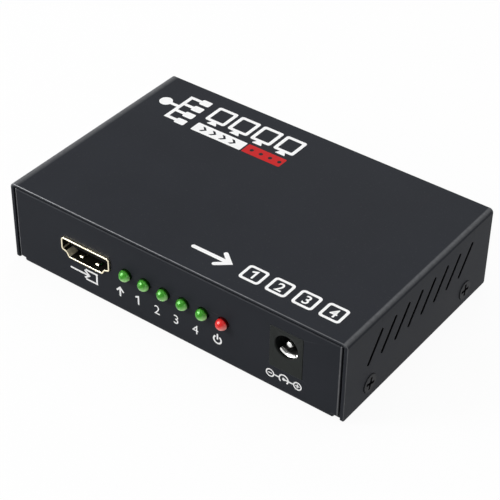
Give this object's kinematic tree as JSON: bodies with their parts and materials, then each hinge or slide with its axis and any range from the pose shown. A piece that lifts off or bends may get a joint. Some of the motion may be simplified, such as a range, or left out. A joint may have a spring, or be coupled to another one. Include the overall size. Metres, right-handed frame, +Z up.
{
  "type": "video splitter",
  "caption": "Small flat metal box that copies one digital video input to several output sockets, with status lamps, side vents and a round power jack.",
  "frame": {"origin": "middle of the case's footprint on its underside", "axes": "+X to the right seen from the input side, +Y to the rear with the output sockets, +Z up"},
  "size_m": [0.0964, 0.0635, 0.0224],
  "materials": {
    "case_paint": "fine satin black paint",
    "black_screw": "blackened steel",
    "board": "green solder mask",
    "standoff": "nickel plated",
    "plain_screw": "zinc plated",
    "gilt_shell": "pale gold plating",
    "black_insulator": "moulded",
    "gilt_contact": "gold plating",
    "green_lens": "tinted clear resin",
    "red_lens": "tinted clear resin",
    "tinned_lead": "tin plated",
    "jack_plastic": "moulded",
    "jack_metal": "bright nickel",
    "chip_body": "moulded",
    "thermal_pad": "soft pad",
    "heat_sink": "black anodised",
    "can": "bare",
    "ferrite": "sintered",
    "ceramic": "fired",
    "resistor": "fired"
  },
  "bodies": {
    "case": {"top_cover": "case_paint", "bottom_tray": "case_paint", "circuit_board": "board", "board_standoffs": "standoff", "board_screws": "plain_screw", "input_shell": "gilt_shell", "output_shell_1": "gilt_shell", "output_shell_2": "gilt_shell", "output_shell_3": "gilt_shell", "output_shell_4": "gilt_shell", "input_insulator": "black_insulator", "output_insulator_1": "black_insulator", "output_insulator_2": "black_insulator", "output_insulator_3": "black_insulator", "output_insulator_4": "black_insulator", "input_contacts": "gilt_contact", "output_contacts_1": "gilt_contact", "output_contacts_2": "gilt_contact", "output_contacts_3": "gilt_contact", "output_contacts_4": "gilt_contact", "led_input": "green_lens", "led_output_1": "green_lens", "led_output_2": "green_lens", "led_output_3": "green_lens", "led_output_4": "green_lens", "led_power": "red_lens", "led_leads": "tinned_lead", "chip_leads": "tinned_lead", "jack_housing": "jack_plastic", "jack_pin": "jack_metal", "jack_leaf_terminal": "jack_metal", "splitter_chip": "chip_body", "controller_chip": "chip_body", "memory_chip": "chip_body", "regulators": "chip_body", "surge_arrays": "chip_body", "thermal_pad": "thermal_pad", "heat_sink": "heat_sink", "crystal": "can", "bulk_capacitors": "can", "choke": "ferrite", "ceramic_capacitors": "ceramic", "resistors": "resistor"},
    "cover_screw_front_left_body": {"cover_screw_front_left": "black_screw"},
    "cover_screw_front_right_body": {"cover_screw_front_right": "black_screw"},
    "cover_screw_rear_left_body": {"cover_screw_rear_left": "black_screw"},
    "cover_screw_rear_right_body": {"cover_screw_rear_right": "black_screw"},
    "leaf": {"jack_leaf": "jack_metal"}
  },
  "joints": [
    {"name": "leaf_flex", "type": "hinge", "parent": "case", "child": "leaf", "pos_m": [0.0325, -0.0207, 0.01115], "axis": [1, 0, 0], "range_deg": [0, 2.5], "stiffness_Nm_per_rad": 0.05},
    {"name": "cover_screw_front_left_out", "type": "slide", "parent": "case", "child": "cover_screw_front_left_body", "axis": [-1, 0, 0], "range_m": [0, 0.005]},
    {"name": "cover_screw_front_right_out", "type": "slide", "parent": "case", "child": "cover_screw_front_right_body", "axis": [1, 0, 0], "range_m": [0, 0.005]},
    {"name": "cover_screw_rear_left_out", "type": "slide", "parent": "case", "child": "cover_screw_rear_left_body", "axis": [-1, 0, 0], "range_m": [0, 0.005]},
    {"name": "cover_screw_rear_right_out", "type": "slide", "parent": "case", "child": "cover_screw_rear_right_body", "axis": [1, 0, 0], "range_m": [0, 0.005]}
  ]
}
